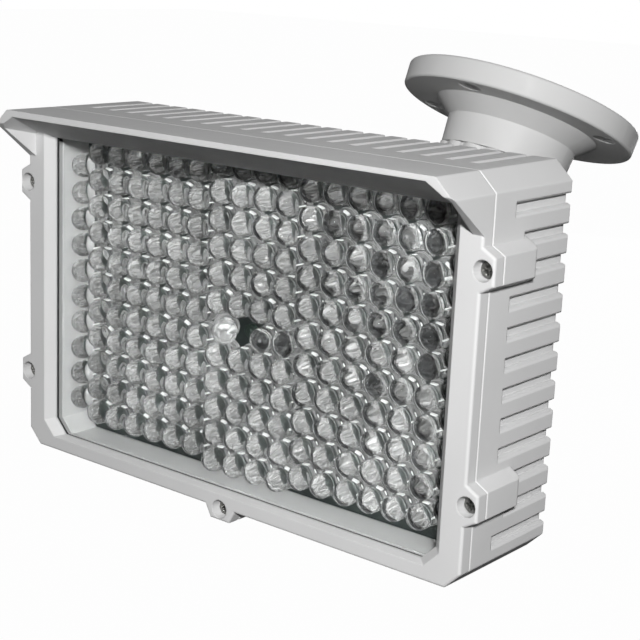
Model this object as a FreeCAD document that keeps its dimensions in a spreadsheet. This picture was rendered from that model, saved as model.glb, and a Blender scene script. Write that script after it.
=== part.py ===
import FreeCAD, Part, Sketcher

import math
import os
import re

# An infrared illuminator: a wide finned housing with a hooded front bezel, a
# window over a field of round light-emitting diodes, and a bracket whose round
# flange holds the lamp by a clamped ball, an arm and a knuckle.
# The frame has +Z up and the lamp looking along -Y. Its origin is the centre
# of the flange's mounting face.

# Each size is a word, a value in millimetres (or degrees) and what it is.
SIZES = (
    ("half_width", 110.0, "housing, centre to side"),
    ("half_height", 71.0, "housing, centre to roof"),
    ("housing_depth", 54.2, "bezel face to rear wall"),
    ("wall", 3.7, "housing side walls, ribs included"),
    ("rear_wall", 3.0, "housing rear wall"),
    ("corner_across", 7.0, "top corner slope, across"),
    ("corner_up", 6.6, "top corner slope, up"),
    ("corner_low", 6.3, "bottom corner slope"),
    ("bezel_depth", 5.7, "bezel face to parting line"),
    ("edge_round", 1.0, "rounding of the housing's and the bezel's outer edges"),
    ("parting_bevel", 0.4, "bevel along the parting line"),
    ("crease_in", 9.1, "width of the bezel face at the sides"),
    ("crease_half_width", "=half_width - crease_in", "flat of the bezel face, inner edge"),
    ("crease_up", 5.6, "width of the bezel face at the bottom"),
    ("crease_low", "=half_height - crease_up", "flat of the bezel face, bottom edge"),
    ("bevel_depth", 3.3, "bezel face to opening"),
    ("opening_in", 12.4, "window opening inside the housing's side"),
    ("opening_half_width", "=half_width - opening_in", "window opening, centre to side"),
    ("opening_up", 6.5, "window opening above the housing's floor"),
    ("opening_low", "=half_height - opening_up", "window opening, centre to bottom"),
    ("opening_down", 11.6, "window opening below the roof"),
    ("opening_top", "=half_height - opening_down", "window opening, centre to top"),
    ("opening_corner", 6.0, "window opening, corner slope"),
    ("hood_reach", 18.8, "bezel face to hood lip, at the right end"),
    ("hood_reach_left", 17.0, "bezel face to hood lip, at the left end"),
    ("hood_foot_down", 19.7, "foot of the hood's cheeks below the roof"),
    ("hood_foot", "=half_height - hood_foot_down", "height where the hood's cheeks meet the face"),
    ("hood_tip", 5.9, "tip of the right cheek below the roof"),
    ("hood_tip_left", 4.2, "tip of the left cheek below the roof"),
    ("hood_face_down", 9.9, "underside of the hood at the face, below the roof"),
    ("hood_face_top", "=half_height - hood_face_down", "underside of the hood at the face"),
    ("hood_face_in", 4.2, "cheeks' thickness at the face"),
    ("hood_face_side", "=half_width - hood_face_in", "inside of the cheeks at the face"),
    ("hood_lip", 1.8, "thickness of the hood's lip"),
    ("hood_slope_across", 9.0, "inner corner slope at the lip, across"),
    ("hood_slope_up", 5.1, "inner corner slope at the lip, up"),
    ("rib_groove", 3.6, "width of the grooves between ribs"),
    ("rib_groove_depth", 2.5, "depth of the grooves between ribs"),
    ("rib_start", 18.5, "bezel face to the start of the grooves"),
    ("rib_start_ear", 24.8, "bezel face to the start of the grooves behind an ear"),
    ("rib_round", 0.7, "bevel of the side grooves' upper edges"),
    ("rib_soft", 1.7, "rounding of the side grooves' lower edges"),
    ("side_groove_in", 12.9, "last side groove below the roof"),
    ("side_pitch", "=(half_height - side_groove_in) / 5.5", "groove spacing on the sides"),
    ("roof_groove_in", 17.5, "last roof groove inside the side"),
    ("roof_pitch", "=(half_width - roof_groove_in) / 9", "groove spacing on the roof"),
    ("ear_down", 31.0, "side ears below the roof"),
    ("ear_height", "=half_height - ear_down", "height of the side ears above and below the centre"),
    ("ear_reach", 5.0, "how far an ear stands out"),
    ("ear_base", 8.1, "ear half height at its foot"),
    ("ear_tip", 4.7, "ear half height at its tip"),
    ("ear_boss", 27.0, "bezel face to the back of an ear's boss"),
    ("boss_round", 2.5, "rounding of a boss's back edges"),
    ("ear_screw_in", 0.5, "ear screw centre outside the housing side"),
    ("screw_head", 3.0, "bezel screw head radius"),
    ("screw_head_high", 1.6, "bezel screw head thickness"),
    ("screw_sunk", 3.0, "bezel screw head below the face"),
    ("screw_bore", 3.7, "counterbore radius"),
    ("screw_shank", 1.75, "bezel screw shank radius"),
    ("screw_long", 13.0, "bezel screw shank length"),
    ("slip", 0.05, "radial clearance of pins and screws"),
    ("fit", 0.3, "clearance round seated pieces"),
    ("gasket_thick", 1.4, "bezel gasket thickness"),
    ("gasket_in", 0.4, "gasket set back from the opening"),
    ("glass_thick", 3.0, "window thickness"),
    ("seal_thick", 1.0, "seal behind the window"),
    ("seal_in", 1.0, "seal's inner edge outside the opening"),
    ("tray_in", 10.5, "tray's inside from the housing's side"),
    ("tray_half_width", "=half_width - tray_in", "inside of the tray, centre to side"),
    ("tray_up", 4.9, "tray's inside from the housing's roof"),
    ("tray_half_height", "=half_height - tray_up", "inside of the tray, centre to top"),
    ("tray_wall", 0.9, "tray wall"),
    ("tray_ledge", 8.0, "width of the tray's rear ledge"),
    ("led_side_in", 16.0, "outermost diode columns inside the housing's side"),
    ("led_side", "=half_width - led_side_in", "outermost diode columns, centre to column"),
    ("led_side_gap", 0.5, "outermost columns, moved out of the even spacing"),
    ("led_pitch", "=(led_side - led_side_gap) / 8.5", "diode column spacing"),
    ("led_row_in", 16.45, "top row of diodes below the roof"),
    ("led_row", "=(half_height - led_row_in) / 5", "diode row spacing"),
    ("led_row_close_in", 12.7, "top row of the four middle columns below the roof"),
    ("led_row_close", "=(half_height - led_row_close_in) / 5.5", "row spacing of the four middle columns"),
    ("led_gap", 0.3, "half the least gap between diodes"),
    ("led_radius", "=min(led_pitch; led_row_close) / 2 - led_gap", "lamp diode radius"),
    ("led_high", 13.3, "lamp diode from board to tip"),
    ("led_centre", -0.45, "height of the middle of the diode field"),
    ("board_front", 23.0, "bezel face to the diode board"),
    ("board_thick", 1.6, "circuit board thickness"),
    ("board_gap", 0.5, "board edge to tray wall"),
    ("board_screw_down", 12.0, "board screws below the roof"),
    ("board_screw_up", "=half_height - board_screw_down", "board screws above and below the centre"),
    ("board_screw", 1.5, "board screw radius"),
    ("board_screw_head", 2.7, "board screw head radius"),
    ("board_screw_high", 2.0, "board screw head thickness"),
    ("board_screw_long", 10.0, "board screw length"),
    ("standoff_across", 6.0, "board standoff across flats"),
    ("sensor_radius", 2.6, "light sensor radius"),
    ("sensor_high", 2.2, "light sensor thickness"),
    ("driver_wide", 80.0, "driver board width"),
    ("driver_tall", 50.0, "driver board height"),
    ("driver_left", 45.0, "driver board centre, left of the middle"),
    ("driver_post", 7.0, "driver board above the rear wall"),
    ("driver_post_radius", 3.2, "driver board post radius"),
    ("driver_inset", 5.0, "driver post in from the board's edge"),
    ("can_radius", 5.0, "capacitor radius"),
    ("can_high", 11.0, "capacitor height"),
    ("coil_radius", 6.5, "inductor radius"),
    ("coil_high", 7.0, "inductor height"),
    ("terminal_wide", 15.0, "terminal block width"),
    ("terminal_tall", 8.0, "terminal block depth along the board"),
    ("terminal_high", 9.0, "terminal block height"),
    ("plug_wide", 12.0, "board connector width"),
    ("plug_tall", 6.0, "board connector height"),
    ("plug_high", 8.0, "board connector depth"),
    ("gland_in", 48.0, "cable gland inside the housing's side"),
    ("gland_right", "=half_width - gland_in", "cable gland, right of the middle"),
    ("gland_up", 33.0, "cable gland above the housing's floor"),
    ("gland_down", "=half_height - gland_up", "cable gland below the middle"),
    ("gland_radius", 7.5, "cable gland thread radius"),
    ("gland_across", 19.0, "cable gland across flats"),
    ("gland_hex", 6.0, "cable gland hexagon thickness"),
    ("gland_inside", 9.0, "cable gland thread inside the housing"),
    ("gland_neck", 9.0, "cable gland cap length"),
    ("gland_bore", 3.6, "cable gland bore radius"),
    ("gland_nut_high", 4.0, "cable gland nut thickness"),
    ("gland_seal_high", 5.0, "cable gland seal length"),
    ("gland_seal_wall", 1.6, "cable gland seal wall"),
    ("knuckle_side", 46.0, "knuckle plate side"),
    ("knuckle_thick", 5.0, "knuckle plate thickness"),
    ("knuckle_reach", 20.8, "rear wall to knuckle pivot"),
    ("knuckle_ear", 7.0, "knuckle ear thickness"),
    ("knuckle_round", 12.0, "knuckle ear and arm eye radius"),
    ("knuckle_gap", 0.2, "arm eye to knuckle ear"),
    ("knuckle_screw_at", 17.0, "knuckle screws from the plate's centre"),
    ("knuckle_screw", 2.5, "knuckle screw radius"),
    ("knuckle_screw_head", 4.2, "knuckle screw head radius"),
    ("knuckle_screw_high", 3.0, "knuckle screw head thickness"),
    ("knuckle_screw_long", 6.0, "knuckle screw length under the head"),
    ("pivot_radius", 4.0, "knuckle bolt radius"),
    ("pivot_slip", 0.08, "arm eye clearance on the bolt"),
    ("pivot_across", 13.0, "knuckle bolt head across flats"),
    ("pivot_head", 5.3, "knuckle bolt head thickness"),
    ("pivot_nut", 6.5, "knuckle nut thickness"),
    ("eye_thick", 18.0, "arm eye thickness"),
    ("arm_length", 111.3, "ball centre to knuckle pivot"),
    ("arm_slope", 20.7, "arm below level, degrees"),
    ("arm_radius", 8.5, "arm radius"),
    ("arm_collar", 10.5, "arm collar radius"),
    ("arm_collar_long", 6.0, "arm collar length"),
    ("ball_radius", 22.0, "ball radius"),
    ("ball_neck", 6.0, "ball neck radius"),
    ("ball_neck_long", 36.0, "ball centre to the end of the neck"),
    ("stud_radius", 5.5, "stud thread radius"),
    ("stud_end", 74.0, "ball centre to the end of the stud"),
    ("lock_nut", 6.5, "arm lock nut thickness"),
    ("lock_nut_across", 17.0, "arm lock nut across flats"),
    ("flange_radius", 54.5, "flange radius at the mounting face"),
    ("flange_draft", 0.5, "flange radius lost towards the ball"),
    ("flange_thick", 10.2, "flange thickness"),
    ("flange_recess", 5.0, "hollow in the mounting face"),
    ("flange_recess_radius", 34.0, "hollow's radius"),
    ("flange_round", 1.2, "rounding of the flange rim"),
    ("boss_radius", 38.0, "cone foot radius"),
    ("boss_high", 6.8, "cone height"),
    ("drum_radius", 30.0, "drum radius at the cone"),
    ("drum_draft", 1.0, "drum radius lost towards the ring"),
    ("drum_high", 13.3, "drum height"),
    ("spigot_radius", 26.2, "threaded spigot radius"),
    ("bolt_circle", 91.0, "flange hole circle diameter"),
    ("flange_hole", 3.5, "flange hole radius"),
    ("flange_sink", 4.6, "countersink radius at the flange's lamp side"),
    ("flange_sink_deep", 1.6, "countersink depth"),
    ("ball_depth", 38.2, "mounting face to ball centre"),
    ("flange_tilt", 22.84, "flange tipped forwards, degrees"),
    ("flange_lean", 4.1, "flange leaned sideways, degrees"),
    ("ring_root", 28.3, "locking ring radius between the lobes"),
    ("ring_lobe", 6.2, "locking ring lobe radius"),
    ("ring_outer", 29.8, "locking ring radius over the lobes"),
    ("ring_lobes", 16.0, "number of lobes"),
    ("ring_shoulder", 7.0, "ball centre to the ring's shoulder"),
    ("ring_mouth", 21.4, "radius of the ring's mouth"),
    ("ring_lip", 1.6, "thickness of the ring's lip"),
    ("ring_flare_across", 5.4, "flare of the ring's mouth, across"),
    ("ring_flare_high", 3.8, "flare of the ring's mouth, high"),
    ("turn_gap", 0.2, "end clearance of the ring and the seat"),
)

ROOF_GROOVES = 19
SIDE_GROOVES = 12
LED_COLUMNS = 8
LED_ROWS = 11
LED_SIDES = 6
SENSOR_COLUMN = -1
SENSOR_ROW = 5


def new_document():
    """The document with its sheet of sizes."""
    doc = FreeCAD.newDocument("Illuminator")
    sheet = doc.addObject("Spreadsheet::Sheet", "Sizes")
    for row, (word, value, meaning) in enumerate(SIZES, start=1):
        sheet.set("A%d" % row, word)
        sheet.set("B%d" % row, str(value))
        sheet.setAlias("B%d" % row, word)
        sheet.set("C%d" % row, meaning)
    doc.recompute()
    return doc


DOC = new_document()


def size(word):
    """The value that the sheet holds under a word."""
    return float(DOC.Sizes.get(word))


def linked(text):
    """An expression in which each word names a cell of the sheet."""
    return re.sub(r"\b([a-z]\w*)\b(?!\s*\()", r"Sizes.\1", str(text))


def bind(thing, **values):
    """Tie properties of an object to expressions of the sheet."""
    for name, text in values.items():
        thing.setExpression(name.replace("__", "."), linked(text))


# Placements of the lamp head, the arm and the bracket.


def bracket_place():
    """The flange's frame: its axis points out of the mounting face."""
    lean = FreeCAD.Rotation(FreeCAD.Vector(0, 1, 0), size("flange_lean"))
    tilt = FreeCAD.Rotation(FreeCAD.Vector(1, 0, 0), -size("flange_tilt"))
    return FreeCAD.Placement(FreeCAD.Vector(), lean * tilt)


def ball_centre():
    """The middle of the ball."""
    return bracket_place().multVec(FreeCAD.Vector(0, 0, -size("ball_depth")))


def arm_place():
    """The arm's frame: from the ball's centre, its axis points to the knuckle."""
    turn = FreeCAD.Rotation(FreeCAD.Vector(1, 0, 0), 90 + size("arm_slope"))
    return FreeCAD.Placement(ball_centre(), turn)


def knuckle_pivot():
    """The middle of the knuckle bolt."""
    return arm_place().multVec(FreeCAD.Vector(0, 0, size("arm_length")))


def head_place():
    """The lamp head's frame: front view, x right, y up, z out of the bezel face."""
    back = size("housing_depth") + size("knuckle_reach")
    turn = FreeCAD.Rotation(FreeCAD.Vector(1, 0, 0), 90)
    return FreeCAD.Placement(knuckle_pivot() - FreeCAD.Vector(0, back, 0), turn)


# Helpers for bodies and their sketches.


def new_body(label, place):
    """An empty body at its place."""
    body = DOC.addObject("PartDesign::Body", "Body_" + label)
    body.Label = label
    body.Placement = place
    return body


def origin_plane(body, role):
    """One of a body's own origin planes."""
    return [item for item in body.Origin.OriginFeatures if item.Role == role][0]


def attach(thing, body, role, offset):
    """Lay an object on one of the body's planes, moved out by an offset."""
    thing.AttachmentSupport = [(origin_plane(body, role), "")]
    thing.MapMode = "FlatFace"
    thing.setExpression("AttachmentOffset.Base.z", linked(offset))


def new_sketch(body, role="XY_Plane", offset="0"):
    """An empty sketch on one of the body's planes."""
    sketch = body.newObject("Sketcher::SketchObject", "Sketch")
    attach(sketch, body, role, offset)
    return sketch


def draw_outline(sketch, points):
    """A closed outline of straight lines whose corners are pairs of expressions."""
    first = sketch.GeometryCount
    count = len(points)
    guess = [FreeCAD.Vector(math.cos(math.tau * i / count), math.sin(math.tau * i / count), 0)
             for i in range(count)]
    lines = [Part.LineSegment(guess[i], guess[(i + 1) % count]) for i in range(count)]
    sketch.addGeometry(lines, False)
    sketch.addConstraint([Sketcher.Constraint("Coincident", first + i, 2, first + (i + 1) % count, 1)
                          for i in range(count)])
    place_points(sketch, [(first + i, 1, across, up) for i, (across, up) in enumerate(points)])


def place_points(sketch, places):
    """Hold points of a sketch, each an element and its end, at pairs of expressions."""
    rules = []
    texts = []
    for element, end, across, up in places:
        for kind, text in (("DistanceX", across), ("DistanceY", up)):
            rules.append(Sketcher.Constraint(kind, -1, 1, element, end, 1.0))
            texts.append(text)
    first = sketch.ConstraintCount
    sketch.addConstraint(rules)
    for index, text in enumerate(texts, start=first):
        sketch.setExpression("Constraints[%d]" % index, linked(text))


def draw_circle(sketch, across, up, radius):
    """A circle whose centre and radius are expressions."""
    circle = Part.Circle(FreeCAD.Vector(1, 1, 0), FreeCAD.Vector(0, 0, 1), 1)
    element = sketch.addGeometry(circle, False)
    place_points(sketch, [(element, 3, across, up)])
    index = sketch.addConstraint(Sketcher.Constraint("Radius", element, 1.0))
    sketch.setExpression("Constraints[%d]" % index, linked(radius))


def finish(body, feature):
    """Make a feature the body's last one and bring it up to date."""
    body.Tip = feature
    DOC.recompute()
    return feature


def pad(body, sketch, length, backwards=False):
    """Grow a sketch into the body."""
    feature = body.newObject("PartDesign::Pad", "Pad")
    feature.Profile = sketch
    feature.Reversed = backwards
    bind(feature, Length=length)
    return finish(body, feature)


def pocket(body, sketch, length, side="One side"):
    """Sink a sketch into the body, away from the sketch's normal."""
    feature = body.newObject("PartDesign::Pocket", "Pocket")
    feature.Profile = sketch
    feature.SideType = side
    bind(feature, Length=length)
    return finish(body, feature)


def loft_cut(body, sketches):
    """Cut the straight-sided solid between two outlines."""
    feature = body.newObject("PartDesign::SubtractiveLoft", "LoftCut")
    feature.Profile = sketches[0]
    feature.Sections = sketches[1:]
    feature.Ruled = True
    return finish(body, feature)


def turned(body, points, kind="PartDesign::Revolution"):
    """Turn a profile of radius and height pairs about the body's axis."""
    sketch = new_sketch(body, "XZ_Plane")
    draw_outline(sketch, points)
    feature = body.newObject(kind, "Turned")
    feature.Profile = sketch
    feature.ReferenceAxis = (sketch, ["V_Axis"])
    feature.Angle = 360
    return finish(body, feature)


def round_edges(body, base, radius, chosen):
    """Round the edges of a feature that a test picks."""
    feature = body.newObject("PartDesign::Fillet", "Fillet")
    feature.Base = (base, edge_names(base, chosen))
    bind(feature, Radius=radius)
    return finish(body, feature)


def bevel_edges(body, base, width, chosen):
    """Bevel the edges of a feature that a test picks."""
    feature = body.newObject("PartDesign::Chamfer", "Bevel")
    feature.Base = (base, edge_names(base, chosen))
    bind(feature, Size=width)
    return finish(body, feature)


def edge_names(base, chosen):
    """The names of the edges of a feature that a test picks."""
    return ["Edge%d" % (i + 1) for i, edge in enumerate(base.Shape.Edges) if chosen(edge)]


# Helpers for pieces made of primitives.


def box(across, up, out, long, tall, deep):
    """A box centred across and up, starting at a depth and growing out."""
    solid = DOC.addObject("Part::Box", "Box")
    bind(solid, Length=long, Width=tall, Height=deep)
    bind(solid, Placement__Base__x="%s - (%s) / 2" % (across, long))
    bind(solid, Placement__Base__y="%s - (%s) / 2" % (up, tall), Placement__Base__z=out)
    return solid


def rod(across, up, out, radius, deep):
    """A cylinder along z, starting at a depth and growing out."""
    solid = DOC.addObject("Part::Cylinder", "Rod")
    bind(solid, Radius=radius, Height=deep)
    bind(solid, Placement__Base__x=across, Placement__Base__y=up, Placement__Base__z=out)
    return solid


def cross_rod(start, up, out, radius, long):
    """A cylinder along x, starting at a distance and growing to the right."""
    solid = DOC.addObject("Part::Cylinder", "CrossRod")
    solid.Placement = FreeCAD.Placement(FreeCAD.Vector(), FreeCAD.Rotation(FreeCAD.Vector(0, 1, 0), 90))
    bind(solid, Radius=radius, Height=long)
    bind(solid, Placement__Base__x=start, Placement__Base__y=up, Placement__Base__z=out)
    return solid


def hexagon(across, up, out, flats, deep):
    """A hexagonal prism along z, sized across its flats."""
    solid = DOC.addObject("Part::Prism", "Hexagon")
    solid.Polygon = 6
    bind(solid, Circumradius="(%s) / sqrt(3)" % flats, Height=deep)
    bind(solid, Placement__Base__x=across, Placement__Base__y=up, Placement__Base__z=out)
    return solid


def joined(*pieces):
    """One solid of several that meet."""
    whole = DOC.addObject("Part::MultiFuse", "Joined")
    whole.Shapes = list(pieces)
    whole.Refine = True
    return whole


def without(body, *cuts):
    """A solid less the pieces that cut it."""
    for cut in cuts:
        result = DOC.addObject("Part::Cut", "Without")
        result.Base = body
        result.Tool = cut
        result.Refine = True
        body = result
    return body


def group(label, pieces, place):
    """Separate solids that share one name."""
    whole = DOC.addObject("Part::Compound", "Group_" + label)
    whole.Links = list(pieces)
    return named(whole, label, place)


def named(piece, label, place):
    """Give a finished piece its name and place."""
    piece.Label = label
    piece.Placement = place
    DOC.recompute()
    return piece


# Outlines that several pieces share, in the head's front view.


def sloped_box(width, height, across, up, low):
    """An upright rectangle with its four corners cut off, top and bottom differently."""
    return [
        (width, "%s - %s" % (low, height)),
        (width, "%s - %s" % (height, up)),
        ("%s - %s" % (width, across), height),
        ("%s - %s" % (across, width), height),
        ("-(%s)" % width, "%s - %s" % (height, up)),
        ("-(%s)" % width, "%s - %s" % (low, height)),
        ("%s - %s" % (low, width), "-(%s)" % height),
        ("%s - %s" % (width, low), "-(%s)" % height),
    ]


def shell_outline(inset="0"):
    """The housing's outline, moved in by an inset."""
    return sloped_box("(half_width - %s)" % inset, "(half_height - %s)" % inset,
                      "corner_across", "corner_up", "corner_low")


def tray_outline(inset="0"):
    """The tray's outline, moved in by an inset."""
    return sloped_box("(tray_half_width - (%s))" % inset, "(tray_half_height - (%s))" % inset,
                      "opening_corner", "opening_corner", "opening_corner")


def opening_outline(half_width, low, top, corner):
    """The window opening: cut corners below, square corners under the hood."""
    return [
        (half_width, "%s - %s" % (corner, low)),
        (half_width, top),
        ("-(%s)" % half_width, top),
        ("-(%s)" % half_width, "%s - %s" % (corner, low)),
        ("%s - %s" % (corner, half_width), "-(%s)" % low),
        ("%s - %s" % (half_width, corner), "-(%s)" % low),
    ]


def ear_outlines():
    """The four side ears and the one below, each with its foot inside the wall."""
    outlines = []
    for side in (1, -1):
        for level in ("ear_height", "-ear_height"):
            foot = "%d * (half_width - wall)" % side
            shoulder = "%d * (half_width - 1)" % side
            tip = "%d * (half_width + ear_reach)" % side
            outlines.append([
                (foot, "%s - ear_base" % level),
                (shoulder, "%s - ear_base" % level),
                (tip, "%s - ear_tip" % level),
                (tip, "%s + ear_tip" % level),
                (shoulder, "%s + ear_base" % level),
                (foot, "%s + ear_base" % level),
            ])
    outlines.append([
        ("-ear_base", "wall - half_height"),
        ("-ear_base", "1 - half_height"),
        ("-ear_tip", "-half_height - ear_reach"),
        ("ear_tip", "-half_height - ear_reach"),
        ("ear_base", "1 - half_height"),
        ("ear_base", "wall - half_height"),
    ])
    return outlines


def ear_screws():
    """Centres of the five bezel screws."""
    side = "(half_width + ear_screw_in)"
    places = [("%d * %s" % (sign, side), level) for sign in (1, -1) for level in ("ear_height", "-ear_height")]
    places.append(("0", "-(half_height + ear_screw_in)"))
    return places


def board_screws():
    """Centres of the four screws that hold the diode board."""
    return [("%d * led_side" % side, "%d * board_screw_up" % level) for side in (1, -1) for level in (1, -1)]


def driver_screws():
    """Centres of the driver board's four screws."""
    places = []
    for side in (1, -1):
        for level in (1, -1):
            across = "%d * (driver_wide / 2 - driver_inset) - driver_left" % side
            places.append((across, "%d * (driver_tall / 2 - driver_inset)" % level))
    return places


def knuckle_screws():
    """Centres of the knuckle plate's four screws."""
    return [("%d * knuckle_screw_at" % side, "%d * knuckle_screw_at" % level) for side in (1, -1) for level in (1, -1)]


# The lamp head.


def outside(point):
    """Whether a point of the front view lies outside the shell's walls or in their outer half."""
    across, up = abs(point.x), abs(point.y)
    side = size("half_width") - size("wall") / 2
    top = size("half_height") - size("wall") / 2
    sloped = (across - side + size("corner_across")) / size("corner_across")
    sloped += (up - top + size("corner_low")) / size("corner_low")
    return across > side or up > top or sloped > 1


def at_depth(edge, depth):
    """Whether an edge lies in a plane behind the bezel's face."""
    box = edge.BoundBox
    return abs(box.ZMin + depth) < 0.01 and abs(box.ZMax + depth) < 0.01


def shell_block(body, front, length, backwards):
    """The shell's full block, with its outer edges rounded from front to rear."""
    sketch = new_sketch(body, offset=front)
    draw_outline(sketch, shell_outline())
    block = pad(body, sketch, length, backwards=backwards)
    front_depth = -block.Shape.BoundBox.ZMax
    return round_edges(body, block, "edge_round", lambda edge: not at_depth(edge, front_depth)
                       and not (at_depth(edge, size("bezel_depth"))))


def rear_housing():
    """The cast housing: a tapered box open in front, ribbed outside."""
    body = new_body("rear_housing", head_place())
    shell_block(body, "-bezel_depth", "housing_depth - bezel_depth", backwards=True)
    sketch = new_sketch(body, offset="-bezel_depth")
    draw_outline(sketch, shell_outline("wall"))
    pocket(body, sketch, "housing_depth - bezel_depth - rear_wall")
    cut_side_grooves(body)
    cut_roof_grooves(body)
    bosses = add_ear_bosses(body)
    bevel_edges(body, bosses, "parting_bevel",
                lambda edge: at_depth(edge, size("bezel_depth")) and outside(edge.BoundBox.Center))
    add_inner_posts(body)
    cut_housing_holes(body)
    return body


def side_groove(place):
    """A side groove's section: how far out each corner is, and its level. The lower
    edge of the mouth is rounded by two facets, the upper one is bevelled."""
    low = "%s - rib_groove / 2" % place
    high = "%s + rib_groove / 2" % place
    bend = 1 - math.sqrt(0.5)
    return [
        ("half_width - rib_groove_depth", low),
        ("half_width - rib_groove_depth", high),
        ("half_width - rib_round", high),
        ("half_width + 1", "%s + rib_round + 1" % high),
        ("half_width + 1", "%s - rib_soft - 1" % low),
        ("half_width - %.3f * rib_soft" % bend, "%s - %.3f * rib_soft" % (low, bend)),
        ("half_width - rib_soft", low),
    ]


def cut_side_grooves(body):
    """Grooves down both sides, open at the back. Those behind an ear start further back."""
    for index in range(SIDE_GROOVES // 2):
        step = index + 0.5
        behind_ear = abs(step * size("side_pitch") - size("ear_height")) < size("ear_base")
        start = "rib_start_ear" if behind_ear else "rib_start"
        sketch = new_sketch(body, offset="-%s" % start)
        for up in (1, -1):
            section = side_groove("%.1f * side_pitch" % (up * step))
            for side in (1, -1):
                draw_outline(sketch, [("%d * (%s)" % (side, out), level) for out, level in section])
        pocket(body, sketch, "housing_depth - %s + 1" % start)


def cut_roof_grooves(body):
    """Grooves along the roof and the floor, open at the back."""
    for offset in ("-half_height - 1", "half_height + 1"):
        sketch = new_sketch(body, "XZ_Plane", offset)
        for index in range(ROOF_GROOVES):
            place = "%d * roof_pitch" % (index - ROOF_GROOVES // 2)
            draw_outline(sketch, [
                ("%s - rib_groove / 2" % place, "-rib_start"),
                ("%s + rib_groove / 2" % place, "-rib_start"),
                ("%s + rib_groove / 2" % place, "-housing_depth - 1"),
                ("%s - rib_groove / 2" % place, "-housing_depth - 1"),
            ])
        feature = pocket(body, sketch, "rib_groove_depth + 1")
        feature.Reversed = offset.startswith("-")
        DOC.recompute()


def add_ear_bosses(body):
    """Bosses behind the five ears, which take the bezel screws."""
    sketch = new_sketch(body, offset="-bezel_depth")
    for outline in ear_outlines():
        draw_outline(sketch, outline)
    bosses = pad(body, sketch, "ear_boss - bezel_depth", backwards=True)
    back = -size("ear_boss")
    reach = size("half_width") + size("ear_reach")
    low = size("half_height") + size("ear_reach")

    def back_edge(edge):
        box = edge.BoundBox
        outside = abs(box.Center.x) > reach - 0.1 or box.Center.y < 0.1 - low
        return outside and abs(box.ZMin - back) < 0.01 and abs(box.ZMax - back) < 0.01

    return round_edges(body, bosses, "boss_round", back_edge)


def add_inner_posts(body):
    """Ledges that carry the tray and posts that carry the driver board."""
    sketch = new_sketch(body, offset="rear_wall - housing_depth")
    for side in (1, -1):
        inner = "%d * (tray_half_width + tray_wall + 3)" % side
        outer = "%d * (half_width - wall + 1)" % side
        draw_outline(sketch, [
            (inner, "-ear_height"),
            (outer, "-ear_height"),
            (outer, "ear_height"),
            (inner, "ear_height"),
        ])
    pad(body, sketch, "housing_depth - rear_wall - (%s)" % tray_back())
    sketch = new_sketch(body, offset="rear_wall - housing_depth")
    for across, up in driver_screws():
        draw_circle(sketch, across, up, "driver_post_radius")
    pad(body, sketch, "driver_post")


def cut_housing_holes(body):
    """Screw holes in the bosses and posts, and holes in the rear wall."""
    sketch = new_sketch(body, offset="-bezel_depth")
    for across, up in ear_screws():
        draw_circle(sketch, across, up, "screw_shank + slip")
    pocket(body, sketch, "screw_sunk + screw_head_high + screw_long + 1 - bezel_depth")
    sketch = new_sketch(body, offset="rear_wall + driver_post - housing_depth")
    for across, up in driver_screws():
        draw_circle(sketch, across, up, "board_screw + slip")
    pocket(body, sketch, "driver_post")
    sketch = new_sketch(body, offset="rear_wall - housing_depth")
    for across, up in knuckle_screws():
        draw_circle(sketch, across, up, "knuckle_screw + slip")
    draw_circle(sketch, "gland_right", "-gland_down", "gland_radius + slip")
    pocket(body, sketch, "rear_wall + 1")


def front_bezel():
    """The bezel frame and its hood, cast in one piece with five ears."""
    body = new_body("front_bezel", head_place())
    shell_block(body, "-bezel_depth", "bezel_depth + hood_reach", backwards=False)
    cut_hood_side(body)
    cut_hood_front(body)
    cut_hood_inside(body)
    cut_window(body)
    add_bezel_ears(body)
    return body


def cut_hood_side(body):
    """The hood's slanted cheeks, seen from the side, the left one steeper."""
    for side, tip in ((1, "half_height - hood_tip"), (-1, "half_height - hood_tip_left")):
        sketch = new_sketch(body, "YZ_Plane", "0")
        draw_outline(sketch, [
            ("-half_height - 1", "0"),
            ("hood_foot", "0"),
            (tip, "hood_reach"),
            (tip, "hood_reach + 1"),
            ("-half_height - 1", "hood_reach + 1"),
        ])
        feature = pocket(body, sketch, "half_width + 1")
        feature.Reversed = side > 0
        DOC.recompute()


def cut_hood_front(body):
    """The hood's lip, seen from above, runs back a little to the left."""
    sketch = new_sketch(body, "XZ_Plane", "0")
    draw_outline(sketch, [
        ("-half_width - 1", "hood_reach_left"),
        ("half_width + 1", "hood_reach"),
        ("half_width + 1", "hood_reach + 1"),
        ("-half_width - 1", "hood_reach + 1"),
    ])
    pocket(body, sketch, "2 * half_height + 2", side="Symmetric")


def cut_hood_inside(body):
    """The hollow under the hood, wider and higher towards the lip."""
    low = "hood_foot - 10"
    near = new_sketch(body, offset="0")
    draw_outline(near, [
        ("hood_face_side", low),
        ("hood_face_side", "hood_face_top - hood_lip / 2"),
        ("hood_face_side - hood_lip / 2", "hood_face_top"),
        ("hood_lip / 2 - hood_face_side", "hood_face_top"),
        ("-hood_face_side", "hood_face_top - hood_lip / 2"),
        ("-hood_face_side", low),
    ])
    side = "half_width - hood_lip"
    top = "half_height - hood_lip"
    far = new_sketch(body, offset="hood_reach")
    draw_outline(far, [
        (side, low),
        (side, "%s - hood_slope_up" % top),
        ("%s - hood_slope_across" % side, top),
        ("hood_slope_across - (%s)" % side, top),
        ("-(%s)" % side, "%s - hood_slope_up" % top),
        ("-(%s)" % side, low),
    ])
    loft_cut(body, [near, far])


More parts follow.
